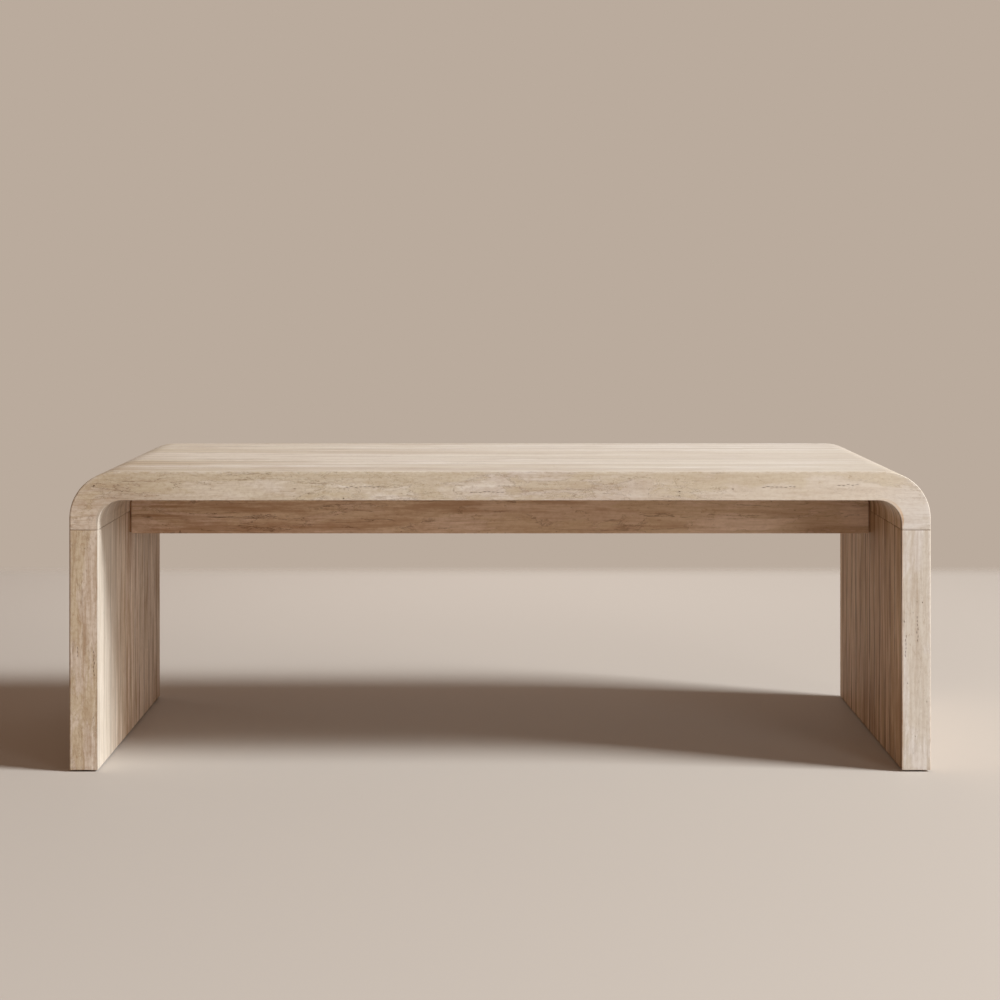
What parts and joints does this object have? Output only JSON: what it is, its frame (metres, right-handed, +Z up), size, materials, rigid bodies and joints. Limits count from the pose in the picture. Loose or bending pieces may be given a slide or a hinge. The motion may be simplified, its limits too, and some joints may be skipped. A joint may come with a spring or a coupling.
{
  "type": "waterfall coffee table",
  "caption": "Low stone coffee table: a thick top turns down over rounded ends onto slab legs, with a stretcher hung under its middle to brace them.",
  "frame": {"origin": "on the floor under the middle of the table, at the centre of its plan", "axes": "+Z up, +X along the table's length, -Y towards the front"},
  "size_m": [1.2, 0.6, 0.418],
  "materials": {
    "travertine": "satin",
    "joint_resin": "satin",
    "stainless_steel": "satin",
    "glide_nylon": "matte"
  },
  "bodies": {
    "root": {"table_top": "travertine", "left_leg": "travertine", "right_leg": "travertine", "stretcher": "travertine", "left_seam_resin": "joint_resin", "right_seam_resin": "joint_resin", "left_stretcher_resin": "joint_resin", "right_stretcher_resin": "joint_resin", "stretcher_bed_resin": "joint_resin", "left_dowel_1": "stainless_steel", "left_dowel_2": "stainless_steel", "left_dowel_3": "stainless_steel", "left_dowel_4": "stainless_steel", "right_dowel_1": "stainless_steel", "right_dowel_2": "stainless_steel", "right_dowel_3": "stainless_steel", "right_dowel_4": "stainless_steel", "stretcher_pin_1": "stainless_steel", "stretcher_pin_2": "stainless_steel", "stretcher_pin_3": "stainless_steel", "stretcher_pin_4": "stainless_steel", "stretcher_pin_5": "stainless_steel", "left_glide_1": "glide_nylon", "left_glide_2": "glide_nylon", "left_glide_3": "glide_nylon", "right_glide_1": "glide_nylon", "right_glide_2": "glide_nylon", "right_glide_3": "glide_nylon"}
  },
  "joints": []
}
